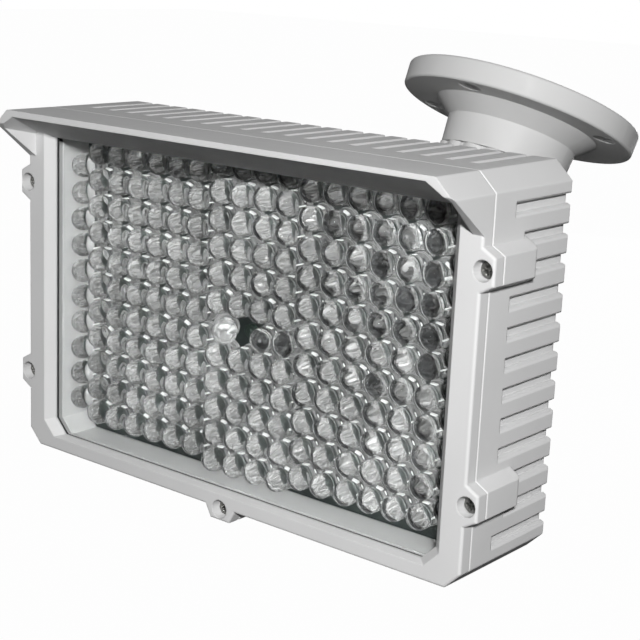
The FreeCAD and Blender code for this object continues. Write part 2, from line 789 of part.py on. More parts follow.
def cut_window(body):
    """The bevelled opening and the seat for the gasket and the window."""
    outer = new_sketch(body, offset="0")
    draw_outline(outer, opening_outline("crease_half_width", "crease_low", "hood_face_top", "opening_corner"))
    inner = new_sketch(body, offset="-bevel_depth")
    draw_outline(inner, opening_outline("opening_half_width", "opening_low", "opening_top", "opening_corner"))
    loft_cut(body, [outer, inner])
    through = new_sketch(body, offset="-bevel_depth")
    draw_outline(through, opening_outline("opening_half_width", "opening_low", "opening_top", "opening_corner"))
    pocket(body, through, "bezel_depth")
    seat = new_sketch(body, offset="-(%s)" % gasket_front())
    draw_outline(seat, shell_outline("wall"))
    pocket(body, seat, "bezel_depth")


def add_bezel_ears(body):
    """Five ears with counterbored screw holes."""
    sketch = new_sketch(body, offset="-bezel_depth")
    for outline in ear_outlines():
        draw_outline(sketch, outline)
    ears = pad(body, sketch, "bezel_depth")
    bevel = bevel_edges(body, ears, "parting_bevel",
                        lambda edge: at_depth(edge, size("bezel_depth")) and outside(edge.BoundBox.Center))
    round_edges(body, bevel, "edge_round", lambda edge: at_depth(edge, 0) and outside(edge.BoundBox.Center))
    sketch = new_sketch(body, offset="0")
    for across, up in ear_screws():
        draw_circle(sketch, across, up, "screw_bore")
    pocket(body, sketch, "screw_sunk + screw_head_high")
    sketch = new_sketch(body, offset="0")
    for across, up in ear_screws():
        draw_circle(sketch, across, up, "screw_shank + slip")
    pocket(body, sketch, "bezel_depth + 1")


# Depths behind the bezel face, each worked out from the piece in front.


def glass_front():
    return "bezel_depth - slip"


def gasket_front():
    return "(%s - gasket_thick)" % glass_front()


def seal_front():
    return "(%s + glass_thick)" % glass_front()


def tray_front():
    return "(%s + seal_thick)" % seal_front()


def tray_back():
    return "(%s + tray_wall)" % tray_front()


def board_back():
    return "(board_front + board_thick)"


def flat_frame(label, outer, inner, front, thick):
    """A flat frame between two outlines, growing back from a depth."""
    body = new_body(label, head_place())
    sketch = new_sketch(body, offset="-(%s)" % front)
    draw_outline(sketch, outer)
    draw_outline(sketch, inner)
    pad(body, sketch, thick, backwards=True)
    return body


def bezel_gasket():
    """The dark rubber frame pressed between bezel and window."""
    inner = opening_outline("(opening_half_width + gasket_in)", "(opening_low + gasket_in)",
                            "(opening_top + gasket_in)", "opening_corner")
    return flat_frame("bezel_gasket", shell_outline("wall - fit"), inner, gasket_front(), "gasket_thick")


def window_glass():
    """The flat clear window."""
    body = new_body("window_glass", head_place())
    sketch = new_sketch(body, offset="-(%s)" % glass_front())
    draw_outline(sketch, shell_outline("wall - fit"))
    pad(body, sketch, "glass_thick", backwards=True)
    return body


def glass_seal():
    """The pale foam frame behind the window."""
    inner = sloped_box("(opening_half_width + seal_in)", "(opening_low + seal_in)",
                       "opening_corner", "opening_corner", "opening_corner")
    return flat_frame("glass_seal", shell_outline("wall - fit"), inner, seal_front(), "seal_thick")


def led_tray():
    """The pale tray round the diodes, with a front flange and a rear ledge."""
    body = flat_frame("led_tray", shell_outline("wall - fit"), tray_outline(), tray_front(), "tray_wall")
    sketch = new_sketch(body, offset="-%s" % tray_front())
    draw_outline(sketch, tray_outline("-tray_wall"))
    draw_outline(sketch, tray_outline())
    pad(body, sketch, "%s + tray_wall - %s" % (board_back(), tray_front()), backwards=True)
    sketch = new_sketch(body, offset="-%s" % board_back())
    draw_outline(sketch, tray_outline("-tray_wall"))
    draw_outline(sketch, tray_outline("tray_ledge"))
    pad(body, sketch, "tray_wall", backwards=True)
    sketch = new_sketch(body, offset="-%s" % board_back())
    for across, up in board_screws():
        draw_circle(sketch, across, up, "board_screw + slip")
    pocket(body, sketch, "tray_wall + 1")
    return body


def led_board():
    """The circuit board that carries the diodes."""
    body = new_body("led_board", head_place())
    sketch = new_sketch(body, offset="-board_front")
    draw_outline(sketch, tray_outline("board_gap"))
    for across, up in board_screws():
        draw_circle(sketch, across, up, "board_screw + slip")
    pad(body, sketch, "board_thick", backwards=True)
    return body


def led_places():
    """Centres of the diodes in the front view, without the light sensor's place."""
    pitch = size("led_pitch")
    middle = size("led_centre")
    places = []
    for column in range(-LED_COLUMNS, LED_COLUMNS):
        across = (column + 0.5) * pitch
        close = -2 <= column < 2
        rows = LED_ROWS + 1 if close else LED_ROWS
        step = size("led_row_close") if close else size("led_row")
        for row in range(rows):
            if column == SENSOR_COLUMN and row == SENSOR_ROW:
                continue
            places.append((across, middle + (row - (rows - 1) / 2) * step))
    for side in (1, -1):
        for row in range(LED_ROWS - 1):
            level = middle + (row - (LED_ROWS - 2) / 2) * size("led_row")
            places.append((side * size("led_side"), level))
    return places


def one_led():
    """A diode: a faceted column with a faceted dome."""
    radius = size("led_radius")
    high = size("led_high")
    column = high - radius
    rings = ((radius, 0), (radius, column), (0.72 * radius, column + 0.7 * radius), (0.3 * radius, high))
    loops = [polygon(ring, level) for ring, level in rings]
    faces = [Part.Face(loops[0]), Part.Face(loops[-1])]
    for low, top in zip(loops, loops[1:]):
        low_points = [vertex.Point for vertex in low.OrderedVertexes]
        top_points = [vertex.Point for vertex in top.OrderedVertexes]
        for i in range(LED_SIDES):
            j = (i + 1) % LED_SIDES
            corners = [low_points[i], low_points[j], top_points[j], top_points[i], low_points[i]]
            faces.append(Part.Face(Part.makePolygon(corners)))
    return Part.makeSolid(Part.makeShell(faces))


def polygon(radius, level):
    """A closed regular polygon at a height."""
    points = []
    for i in range(LED_SIDES + 1):
        turn = math.tau * (i % LED_SIDES) / LED_SIDES
        points.append(FreeCAD.Vector(radius * math.cos(turn), radius * math.sin(turn), level))
    return Part.makePolygon(points)


def leds():
    """The field of lamp diodes on the board."""
    first = one_led()
    solids = []
    for across, up in led_places():
        solid = first.copy()
        solid.translate(FreeCAD.Vector(across, up, -size("board_front")))
        solids.append(solid)
    field = DOC.addObject("Part::Feature", "Leds")
    field.Shape = Part.makeCompound(solids)
    return named(field, "leds", head_place())


def photocell():
    """The light sensor, in the place of one diode."""
    across = "(%.1f) * led_pitch" % (SENSOR_COLUMN + 0.5)
    up = "led_centre + (%.1f) * led_row_close" % (SENSOR_ROW - LED_ROWS / 2)
    cell = rod(across, up, "-board_front", "sensor_radius", "sensor_high")
    return named(joined(cell, rod(across, up, "-board_front", "sensor_radius / 2", "sensor_high + 0.4")),
                 "photocell", head_place())


def screw(across, up, seat, head, high, shank, long):
    """A screw whose head sits on a depth and whose shank goes back."""
    top = rod(across, up, "-(%s)" % seat, head, high)
    return joined(top, rod(across, up, "-(%s) - (%s)" % (seat, long), shank, "%s + %s" % (long, high)))


def bezel_screws():
    """Five screws that hold the bezel."""
    seat = "screw_sunk + screw_head_high"
    pieces = [screw(across, up, seat, "screw_head", "screw_head_high", "screw_shank", "screw_long")
              for across, up in ear_screws()]
    return group("bezel_screws", pieces, head_place())


def led_board_screws():
    """Four screws through the diode board into the standoffs."""
    pieces = [screw(across, up, "board_front", "board_screw_head", "board_screw_high",
                    "board_screw", "board_screw_long") for across, up in board_screws()]
    return group("board_screws", pieces, head_place())


def board_standoffs():
    """Four hexagonal standoffs from the rear wall to the tray."""
    pieces = []
    for across, up in board_screws():
        long = "housing_depth - rear_wall - %s - tray_wall" % board_back()
        post = hexagon(across, up, "rear_wall - housing_depth", "standoff_across", long)
        hole = rod(across, up, "-%s - board_screw_long" % board_back(), "board_screw + slip",
                   "board_screw_long")
        pieces.append(without(post, hole))
    return group("board_standoffs", pieces, head_place())


def driver_front():
    """Depth of the driver board's front face."""
    return "(housing_depth - rear_wall - driver_post - board_thick)"


def driver_board():
    """The circuit board that drives the diodes."""
    board = box("-driver_left", "0", "-%s - board_thick" % driver_front(), "driver_wide", "driver_tall", "board_thick")
    holes = [rod(across, up, "-housing_depth", "board_screw + slip", "housing_depth")
             for across, up in driver_screws()]
    return named(without(board, *holes), "driver_board", head_place())


def driver_board_screws():
    """Four screws that hold the driver board on its posts."""
    pieces = [screw(across, up, driver_front(), "board_screw_head", "board_screw_high",
                    "board_screw", "board_thick + driver_post / 2") for across, up in driver_screws()]
    return group("driver_screws", pieces, head_place())


def driver_capacitors():
    """Two capacitors standing on the driver board."""
    pieces = [rod("%d * can_radius * 1.5 - driver_left - driver_wide / 4" % side, "0", "-%s" % driver_front(),
                  "can_radius", "can_high") for side in (1, -1)]
    return group("driver_capacitors", pieces, head_place())


def driver_inductor():
    """The inductor: a wound drum between two flanges."""
    across = "-driver_left + driver_wide / 8"
    low = rod(across, "0", "-%s" % driver_front(), "coil_radius", "coil_high / 4")
    drum = rod(across, "0", "-%s" % driver_front(), "coil_radius * 0.8", "coil_high")
    top = rod(across, "0", "coil_high * 3 / 4 - %s" % driver_front(), "coil_radius", "coil_high / 4")
    return named(joined(low, drum, top), "driver_inductor", head_place())


def terminal_block():
    """The block where the supply leads are clamped."""
    across = "driver_wide / 2 - driver_left - terminal_wide"
    block = box(across, "0", "-%s" % driver_front(), "terminal_wide", "terminal_tall", "terminal_high")
    wells = [rod("%s + (%d) * terminal_wide / 4" % (across, side), "0", "terminal_high / 2 - %s" % driver_front(),
                 "terminal_wide / 8", "terminal_high") for side in (1, -1)]
    return named(without(block, *wells), "terminal_block", head_place())


def board_connector():
    """The connector on the back of the diode board."""
    shell = box("0", "0", "-%s - plug_high" % board_back(), "plug_wide", "plug_tall", "plug_high")
    well = box("0", "0", "-%s - plug_high" % board_back(), "plug_wide - 2", "plug_tall - 2", "plug_high - 2")
    return named(without(shell, well), "board_connector", head_place())


def cable_gland():
    """The gland's body: a hexagon outside the rear wall, a thread inside, a domed cap."""
    body = new_body("cable_gland", head_place() * gland_place())
    cap = "gland_across / 2 - 0.6"
    turned(body, [
        ("0", "rear_wall + gland_inside"),
        ("gland_radius", "rear_wall + gland_inside"),
        ("gland_radius", "-gland_hex"),
        (cap, "-gland_hex"),
        (cap, "-gland_hex - gland_neck * 0.6"),
        ("gland_bore + gland_seal_wall + 1", "-gland_hex - gland_neck"),
        ("0", "-gland_hex - gland_neck"),
    ])
    flats = body.newObject("PartDesign::AdditivePrism", "Flats")
    flats.Polygon = 6
    attach(flats, body, "XY_Plane", "-gland_hex")
    bind(flats, Circumradius="gland_across / sqrt(3)", Height="gland_hex")
    finish(body, flats)
    turned(body, [
        ("0", "rear_wall + gland_inside + 1"),
        ("gland_bore", "rear_wall + gland_inside + 1"),
        ("gland_bore", "gland_seal_high - gland_hex - gland_neck"),
        ("gland_bore + gland_seal_wall + slip", "gland_seal_high - gland_hex - gland_neck"),
        ("gland_bore + gland_seal_wall + slip", "-gland_hex - gland_neck - 1"),
        ("0", "-gland_hex - gland_neck - 1"),
    ], kind="PartDesign::Groove")
    return body


def gland_place():
    """The gland's own frame, on the rear wall."""
    spot = FreeCAD.Vector(size("gland_right"), -size("gland_down"), -size("housing_depth"))
    return FreeCAD.Placement(spot, FreeCAD.Rotation())


def gland_nut():
    """The nut inside the rear wall."""
    ring = hexagon("gland_right", "-gland_down", "rear_wall - housing_depth", "gland_across", "gland_nut_high")
    bore = rod("gland_right", "-gland_down", "-housing_depth", "gland_radius + slip", "housing_depth")
    return named(without(ring, bore), "gland_nut", head_place())


def gland_seal():
    """The rubber sleeve that grips the cable."""
    out = "-housing_depth - gland_hex - gland_neck"
    sleeve = rod("gland_right", "-gland_down", out, "gland_bore + gland_seal_wall", "gland_seal_high")
    bore = rod("gland_right", "-gland_down", "%s - 1" % out, "gland_bore - 0.4", "gland_seal_high + 2")
    return named(without(sleeve, bore), "gland_seal", head_place())


# The knuckle, the arm and the bracket.


def knuckle_plate():
    """The cast plate on the rear wall, with two ears for the bolt."""
    deep = "-housing_depth - knuckle_reach"
    plate = box("0", "0", "-housing_depth - knuckle_thick", "knuckle_side", "knuckle_side", "knuckle_thick")
    pieces = [plate]
    for side in (1, -1):
        middle = "%d * (eye_thick / 2 + knuckle_gap + knuckle_ear / 2)" % side
        pieces.append(box(middle, "0", deep, "knuckle_ear", "2 * knuckle_round", "knuckle_reach - 1"))
        pieces.append(cross_rod("%s - knuckle_ear / 2" % middle, "0", deep, "knuckle_round", "knuckle_ear"))
    body = joined(*pieces)
    bore = cross_rod("-knuckle_side", "0", deep, "pivot_radius + slip", "2 * knuckle_side")
    holes = [rod(across, up, deep, "knuckle_screw + slip", "housing_depth") for across, up in knuckle_screws()]
    return named(without(body, bore, *holes), "knuckle_plate", head_place())


def knuckle_plate_screws():
    """Four screws that hold the plate to the rear wall, heads behind."""
    pieces = []
    seat = "-housing_depth - knuckle_thick"
    for across, up in knuckle_screws():
        head = rod(across, up, "%s - knuckle_screw_high" % seat, "knuckle_screw_head", "knuckle_screw_high")
        shank = rod(across, up, "%s - knuckle_screw_high" % seat, "knuckle_screw",
                    "knuckle_screw_high + knuckle_thick + knuckle_screw_long")
        pieces.append(joined(head, shank))
    return group("knuckle_screws", pieces, head_place())


def side_hexagon(start, flats, thick):
    """A hexagonal prism along x at the pivot."""
    solid = DOC.addObject("Part::Prism", "SideHexagon")
    solid.Polygon = 6
    solid.Placement = FreeCAD.Placement(FreeCAD.Vector(), FreeCAD.Rotation(FreeCAD.Vector(0, 1, 0), 90))
    bind(solid, Circumradius="(%s) / sqrt(3)" % flats, Height=thick)
    bind(solid, Placement__Base__x=start, Placement__Base__z="-housing_depth - knuckle_reach")
    return solid


def knuckle_bolt():
    """The bolt that the arm turns on."""
    outside = "(eye_thick / 2 + knuckle_gap + knuckle_ear)"
    long = "2 * %s + pivot_nut + 1.5" % outside
    head = side_hexagon(outside, "pivot_across", "pivot_head")
    shank = cross_rod("%s - (%s)" % (outside, long), "0", "-housing_depth - knuckle_reach", "pivot_radius",
                      "%s + 1" % long)
    return named(joined(head, shank), "knuckle_bolt", head_place())


def knuckle_nut():
    """The nut on the knuckle bolt."""
    outside = "(eye_thick / 2 + knuckle_gap + knuckle_ear)"
    nut = side_hexagon("-%s - pivot_nut" % outside, "pivot_across", "pivot_nut")
    bore = cross_rod("-2 * %s" % outside, "0", "-housing_depth - knuckle_reach", "pivot_radius + slip",
                     "2 * %s" % outside)
    return named(without(nut, bore), "knuckle_nut", head_place())


def ball_stud():
    """The ball with its neck and threaded stud."""
    body = new_body("ball_stud", arm_place())
    ball = body.newObject("PartDesign::AdditiveSphere", "Ball")
    attach(ball, body, "XY_Plane", "0")
    bind(ball, Radius="ball_radius")
    finish(body, ball)
    turned(body, [
        ("0", "0"),
        ("ball_neck", "0"),
        ("ball_neck", "ball_neck_long"),
        ("stud_radius", "ball_neck_long"),
        ("stud_radius", "stud_end"),
        ("0", "stud_end"),
    ])
    return body


def arm_lock_nut():
    """The nut that locks the stud in the arm."""
    nut = hexagon("0", "0", "ball_neck_long + turn_gap", "lock_nut_across", "lock_nut")
    bore = rod("0", "0", "0", "stud_radius + slip", "arm_length")
    return named(without(nut, bore), "arm_lock_nut", arm_place())


def arm():
    """The arm: a turned rod with a collar, a threaded socket and a flat eye."""
    body = new_body("arm", arm_place())
    foot = "(ball_neck_long + turn_gap + lock_nut)"
    turned(body, [
        ("0", foot),
        ("arm_collar - 1", foot),
        ("arm_collar", "%s + 1" % foot),
        ("arm_collar", "%s + arm_collar_long" % foot),
        ("arm_radius", "%s + arm_collar_long + 2" % foot),
        ("arm_radius", "arm_length"),
        ("0", "arm_length"),
    ])
    eye = new_sketch(body, "YZ_Plane", "0")
    draw_circle(eye, "0", "arm_length", "knuckle_round")
    feature = pad(body, eye, "eye_thick")
    feature.SideType = "Symmetric"
    DOC.recompute()
    bore = new_sketch(body, "YZ_Plane", "0")
    draw_circle(bore, "0", "arm_length", "pivot_radius + pivot_slip")
    pocket(body, bore, "2 * eye_thick", side="Symmetric")
    turned(body, [
        ("0", "0"),
        ("stud_radius + slip", "0"),
        ("stud_radius + slip", "stud_end + 1"),
        ("0", "stud_end + 1"),
    ], kind="PartDesign::Groove")
    return body


def ball_seat():
    """The ring that the ball turns in, held inside the locking ring."""
    body = new_body("ball_seat", bracket_place())
    turned(body, [
        ("ball_radius / 2", "-ball_depth - fit"),
        ("spigot_radius", "-ball_depth - fit"),
        ("spigot_radius", "turn_gap - ball_depth - ring_shoulder"),
        ("ball_radius / 2", "turn_gap - ball_depth - ring_shoulder"),
    ])
    hollow = body.newObject("PartDesign::SubtractiveSphere", "Hollow")
    attach(hollow, body, "XY_Plane", "-ball_depth")
    bind(hollow, Radius="ball_radius + fit")
    finish(body, hollow)
    return body


def drum_end():
    """Depth of the drum's end, where the locking ring starts."""
    return "(flange_thick + boss_high + drum_high)"


def locking_ring():
    """The lobed ring that clamps the ball."""
    body = new_body("locking_ring", bracket_place())
    top = "(-%s - turn_gap)" % drum_end()
    low = "(-ball_depth - ring_shoulder - ring_lip - ring_flare_high)"
    turned(body, [
        ("0", top),
        ("ring_root", top),
        ("ring_root", low),
        ("0", low),
    ])
    lobe = body.newObject("PartDesign::AdditiveCylinder", "Lobe")
    attach(lobe, body, "XY_Plane", low)
    bind(lobe, Radius="ring_lobe", Height="%s - %s" % (top, low))
    bind(lobe, AttachmentOffset__Base__x="ring_outer - ring_lobe")
    finish(body, lobe)
    lobes = body.newObject("PartDesign::PolarPattern", "Lobes")
    lobes.Originals = [lobe]
    lobes.Axis = (origin_axis(body, "Z_Axis"), [""])
    lobes.Angle = 360
    bind(lobes, Occurrences="ring_lobes")
    finish(body, lobes)
    turned(body, [
        ("0", "%s + 1" % top),
        ("spigot_radius + fit", "%s + 1" % top),
        ("spigot_radius + fit", "-ball_depth - ring_shoulder"),
        ("ring_mouth", "-ball_depth - ring_shoulder"),
        ("ring_mouth", "-ball_depth - ring_shoulder - ring_lip"),
        ("ring_mouth + ring_flare_across", low),
        ("ring_mouth + ring_flare_across", "%s - 1" % low),
        ("0", "%s - 1" % low),
    ], kind="PartDesign::Groove")
    return body


def origin_axis(body, role):
    """One of a body's own origin axes."""
    return [item for item in body.Origin.OriginFeatures if item.Role == role][0]


def bracket_flange():
    """The cast flange, its cone and its drum, hollow where the ball sits."""
    body = new_body("bracket_flange", bracket_place())
    disc = "-flange_thick"
    cone = "-flange_thick - boss_high"
    casting = turned(body, [
        ("0", "-flange_recess"),
        ("flange_recess_radius", "-flange_recess"),
        ("flange_recess_radius", "0"),
        ("flange_radius", "0"),
        ("flange_radius - flange_draft", disc),
        ("boss_radius", disc),
        ("drum_radius", cone),
        ("drum_radius - drum_draft", "-%s" % drum_end()),
        ("spigot_radius", "-%s" % drum_end()),
        ("spigot_radius", "fit - ball_depth"),
        ("0", "fit - ball_depth"),
    ])
    rim = size("flange_radius") - size("flange_draft") - 0.1
    round_edges(body, casting, "flange_round", lambda edge: edge.BoundBox.DiagonalLength > 2.5 * rim)
    hollow = body.newObject("PartDesign::SubtractiveSphere", "Socket")
    attach(hollow, body, "XY_Plane", "-ball_depth")
    bind(hollow, Radius="ball_radius + fit")
    finish(body, hollow)
    sketch = new_sketch(body, offset="0")
    for across, up in (("1", "0"), ("-1", "0"), ("0", "1"), ("0", "-1")):
        draw_circle(sketch, "%s * bolt_circle / 2" % across, "%s * bolt_circle / 2" % up, "flange_hole")
    holes = pocket(body, sketch, "flange_thick + 1")
    lamp_side = -size("flange_thick")
    mouth = size("flange_hole")

    def hole_mouth(edge):
        box = edge.BoundBox
        return abs(box.ZMax - lamp_side) < 0.01 and abs(box.XLength - 2 * mouth) < 0.01

    sink = body.newObject("PartDesign::Chamfer", "Countersinks")
    sink.Base = (holes, edge_names(holes, hole_mouth))
    sink.ChamferType = "Two distances"
    bind(sink, Size="flange_sink - flange_hole", Size2="flange_sink_deep")
    finish(body, sink)
    return body


PIECES = (
    bracket_flange, locking_ring, ball_seat, ball_stud, arm_lock_nut, arm,
    knuckle_plate, knuckle_plate_screws, knuckle_bolt, knuckle_nut,
    rear_housing, front_bezel, bezel_gasket, window_glass, glass_seal, bezel_screws,
    led_tray, led_board, leds, photocell, led_board_screws, board_standoffs,
    driver_board, driver_board_screws, driver_capacitors, driver_inductor, terminal_block, board_connector,
    cable_gland, gland_nut, gland_seal,
)


def check_and_export(pieces):
    """Stop on a failed object or an empty or invalid shape, then write each piece."""
    DOC.recompute()
    for thing in DOC.Objects:
        if "Invalid" in thing.State or "Error" in thing.State:
            raise RuntimeError("%s (%s) failed: %s" % (thing.Name, thing.Label, thing.State))
    for piece in pieces:
        if piece.Shape.isNull() or not piece.Shape.isValid():
            raise RuntimeError("%s has no valid shape" % piece.Label)
    os.makedirs("parts", exist_ok=True)
    for piece in pieces:
        piece.Shape.exportStep("parts/%s.step" % piece.Label)
        print(piece.Label, len(piece.Shape.Solids), "solids", round(piece.Shape.Volume), "mm3")


check_and_export([make() for make in PIECES])
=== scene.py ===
import math

import bpy
import numpy as np
from mathutils import Matrix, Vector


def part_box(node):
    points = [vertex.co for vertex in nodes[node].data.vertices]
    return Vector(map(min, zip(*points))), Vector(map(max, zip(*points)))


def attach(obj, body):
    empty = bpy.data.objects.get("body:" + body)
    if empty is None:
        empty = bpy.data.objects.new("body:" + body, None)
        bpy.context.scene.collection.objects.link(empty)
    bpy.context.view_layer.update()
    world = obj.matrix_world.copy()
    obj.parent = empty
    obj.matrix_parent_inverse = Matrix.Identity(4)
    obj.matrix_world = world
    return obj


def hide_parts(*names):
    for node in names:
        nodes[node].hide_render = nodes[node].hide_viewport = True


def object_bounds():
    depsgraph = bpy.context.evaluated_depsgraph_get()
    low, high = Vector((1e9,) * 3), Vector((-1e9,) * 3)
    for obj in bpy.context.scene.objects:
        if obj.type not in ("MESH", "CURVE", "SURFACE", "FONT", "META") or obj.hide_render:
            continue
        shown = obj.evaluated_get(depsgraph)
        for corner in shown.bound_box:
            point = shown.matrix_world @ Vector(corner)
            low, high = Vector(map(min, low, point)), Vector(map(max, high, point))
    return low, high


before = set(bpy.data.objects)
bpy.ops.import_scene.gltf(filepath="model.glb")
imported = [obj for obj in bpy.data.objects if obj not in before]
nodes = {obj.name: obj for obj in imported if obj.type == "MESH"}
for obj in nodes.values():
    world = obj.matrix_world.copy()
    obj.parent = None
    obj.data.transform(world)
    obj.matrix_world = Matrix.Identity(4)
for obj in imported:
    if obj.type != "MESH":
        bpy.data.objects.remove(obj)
cad_low, cad_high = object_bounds()


# The wall flange is one aluminium die casting: a thick disc, a cone and a drum.
# It is shot blasted and powder coated in a light grey. Four screws hold it to the wall.
COAT_GREY = (0.605, 0.605, 0.602, 1.0)
COAT_ROUGHNESS = 0.55
MATT_COAT = {"Specular IOR Level": 0.3}
CLOUDS_PER_METRE = 24.0
GLOSS_WAVES_PER_METRE = 160.0
GLOSS_SWING = 0.07
EDGE_FULL, EDGE_NONE = 0.72, 0.995
BEVEL_SAMPLES = 4
GRAIN_DETAIL = 3.0
GRAIN_STRENGTH = 0.5


def open_group(name, inputs, outputs):
    """A shader node group with named sockets: its tree, its input node and its output node."""
    tree = bpy.data.node_groups.new(name, "ShaderNodeTree")
    for label, kind, value in inputs:
        socket = tree.interface.new_socket(label, in_out="INPUT", socket_type="NodeSocket" + kind)
        socket.default_value = value
    for label, kind in outputs:
        tree.interface.new_socket(label, in_out="OUTPUT", socket_type="NodeSocket" + kind)
    return tree, tree.nodes.new("NodeGroupInput"), tree.nodes.new("NodeGroupOutput")


def feed(tree, value, socket):
    """Link an output to a socket, or set the socket to a plain value."""
    if isinstance(value, bpy.types.NodeSocket):
        tree.links.new(value, socket)
    else:
        socket.default_value = value


def worked_out(tree, operation, *values):
    """A math node's output. Each value is a number or another node's output."""
    node = tree.nodes.new("ShaderNodeMath")
    node.operation = operation
    for value, socket in zip(values, node.inputs):
        feed(tree, value, socket)
    return node.outputs[0]


def noise(tree, place, scale, detail=2.0):
    """A noise texture on a place in metres. The scale is in waves per metre."""
    texture = tree.nodes.new("ShaderNodeTexNoise")
    texture.inputs["Detail"].default_value = detail
    tree.links.new(place, texture.inputs["Vector"])
    feed(tree, scale, texture.inputs["Scale"])
    return texture.outputs["Fac"]


def spread(tree, value, low, high, start=0.3, end=0.7):
    """A value mapped from start..end onto low..high."""
    ramp = tree.nodes.new("ShaderNodeMapRange")
    for label, number in (("From Min", start), ("From Max", end), ("To Min", low), ("To Max", high)):
        ramp.inputs[label].default_value = number
    tree.links.new(value, ramp.inputs["Value"])
    return ramp.outputs["Result"]


def tinted(tree, colour, factor):
    """A colour multiplied by a value."""
    mix = tree.nodes.new("ShaderNodeVectorMath")
    mix.operation = "SCALE"
    tree.links.new(colour, mix.inputs[0])
    tree.links.new(factor, mix.inputs["Scale"])
    return mix.outputs[0]


def surface_group():
    """Colour, roughness and normal of a finish: a cloudy colour with a painted highlight that makes it
    paler on edges, an uneven gloss, and a fine grain on rounded edges. The edge mask rises from nought to
    one as the product of the rounded normal and the true normal falls."""
    tree, given, result = open_group(
        "surface_finish",
        [("Colour", "Color", (0.6, 0.6, 0.6, 1)), ("Roughness", "Float", 0.45), ("Mottle", "Float", 0.03),
         ("Grain", "Float", 1500.0), ("Relief", "Float", 0.00003), ("Edge", "Float", 0.0006),
         ("Wear", "Float", 0.1), ("Along", "Vector", (1, 1, 1))],
        [("Colour", "Color"), ("Roughness", "Float"), ("Normal", "Vector")])
    place = tree.nodes.new("ShaderNodeTexCoord")
    stretched = tree.nodes.new("ShaderNodeVectorMath")
    stretched.operation = "MULTIPLY"
    tree.links.new(place.outputs["Object"], stretched.inputs[0])
    tree.links.new(given.outputs["Along"], stretched.inputs[1])
    rounded = tree.nodes.new("ShaderNodeBevel")
    rounded.samples = BEVEL_SAMPLES
    tree.links.new(given.outputs["Edge"], rounded.inputs["Radius"])
    true_normal = tree.nodes.new("ShaderNodeNewGeometry")
    facing = tree.nodes.new("ShaderNodeVectorMath")
    facing.operation = "DOT_PRODUCT"
    tree.links.new(rounded.outputs[0], facing.inputs[0])
    tree.links.new(true_normal.outputs["Normal"], facing.inputs[1])
    # Painted highlight: the colour is made paler along rounded edges, where light would catch them.
    edge = spread(tree, facing.outputs["Value"], 1.0, 0.0, EDGE_FULL, EDGE_NONE)
    painted_highlight = worked_out(tree, "MULTIPLY_ADD", edge, given.outputs["Wear"], 1.0)
    cloud = spread(tree, noise(tree, place.outputs["Object"], CLOUDS_PER_METRE), -1.0, 1.0)
    shade = worked_out(tree, "MULTIPLY_ADD", cloud, given.outputs["Mottle"], painted_highlight)
    tree.links.new(tinted(tree, given.outputs["Colour"], shade), result.inputs["Colour"])
    waves = noise(tree, place.outputs["Object"], GLOSS_WAVES_PER_METRE)
    gloss = spread(tree, waves, -GLOSS_SWING, GLOSS_SWING)
    uneven = worked_out(tree, "ADD", gloss, given.outputs["Roughness"])
    tree.links.new(uneven, result.inputs["Roughness"])
    fine = noise(tree, stretched.outputs[0], given.outputs["Grain"], GRAIN_DETAIL)
    grain = tree.nodes.new("ShaderNodeBump")
    grain.inputs["Strength"].default_value = GRAIN_STRENGTH
    tree.links.new(given.outputs["Relief"], grain.inputs["Distance"])
    tree.links.new(fine, grain.inputs["Height"])
    tree.links.new(rounded.outputs[0], grain.inputs["Normal"])
    tree.links.new(grain.outputs[0], result.inputs["Normal"])
    return tree


SURFACE_FINISH = surface_group()


def finish(name, colour, sockets, **values):
    """A material whose colour, roughness and normal come from the surface finish with these values.
    The sockets are set on the shader itself."""
    material = bpy.data.materials.new(name)
    material.use_nodes = True
    tree = material.node_tree
    shader = tree.nodes["Principled BSDF"]
    group = tree.nodes.new("ShaderNodeGroup")
    group.node_tree = SURFACE_FINISH
    group.inputs["Colour"].default_value = colour
    for label, number in values.items():
        group.inputs[label].default_value = number
    tree.links.new(group.outputs["Colour"], shader.inputs["Base Color"])
    tree.links.new(group.outputs["Roughness"], shader.inputs["Roughness"])
    tree.links.new(group.outputs["Normal"], shader.inputs["Normal"])
    for label, number in sockets.items():
        shader.inputs[label].default_value = number
    return material


def dress(material, *names):
    """Give CAD nodes their finish."""
    for name in names:
        nodes[name].data.materials.clear()
        nodes[name].data.materials.append(material)


coated_casting = finish("coated_casting", COAT_GREY, MATT_COAT, Roughness=COAT_ROUGHNESS)
dress(coated_casting, "bracket_flange")


# The locking ring screws onto the drum and squeezes the seat against the ball.
# It is cast like the flange, with sixteen finger lobes, and wears the same coat.
dress(coated_casting, "locking_ring")


# The seat is a split ring that the ball turns in, held in the drum by the locking ring.
# It is moulded in acetal, which is off-white and waxy.
seat_acetal = finish("seat_acetal", (0.56, 0.55, 0.52, 1), {"Subsurface Weight": 0.1},
                     Roughness=0.38, Grain=600.0)
dress(seat_acetal, "ball_seat")


# The ball with its neck is turned from steel and nickel plated.
# Its threaded stud screws into the arm, and a thin nut locks it there.
METAL = {"Metallic": 1.0}
nickel = finish("nickel", (0.52, 0.51, 0.49, 1), METAL, Roughness=0.28, Grain=4000.0, Relief=0.000004)
dress(nickel, "ball_stud", "arm_lock_nut")


# The arm is a casting in the flange's coat, with an eye that the knuckle bolt passes through.
# The knuckle plate, its two ears cast on, is screwed to the housing's rear wall.
dress(coated_casting, "arm", "knuckle_plate")


# The knuckle's bolt, nut and screws are steel, zinc plated and a little dulled.
# The small screws that hold the two circuit boards have the same plating.
zinc = finish("zinc", (0.60, 0.60, 0.59, 1), METAL, Roughness=0.36, Grain=2500.0, Relief=0.000008)
dress(zinc, "knuckle_screws", "knuckle_bolt", "knuckle_nut", "board_screws", "driver_screws")
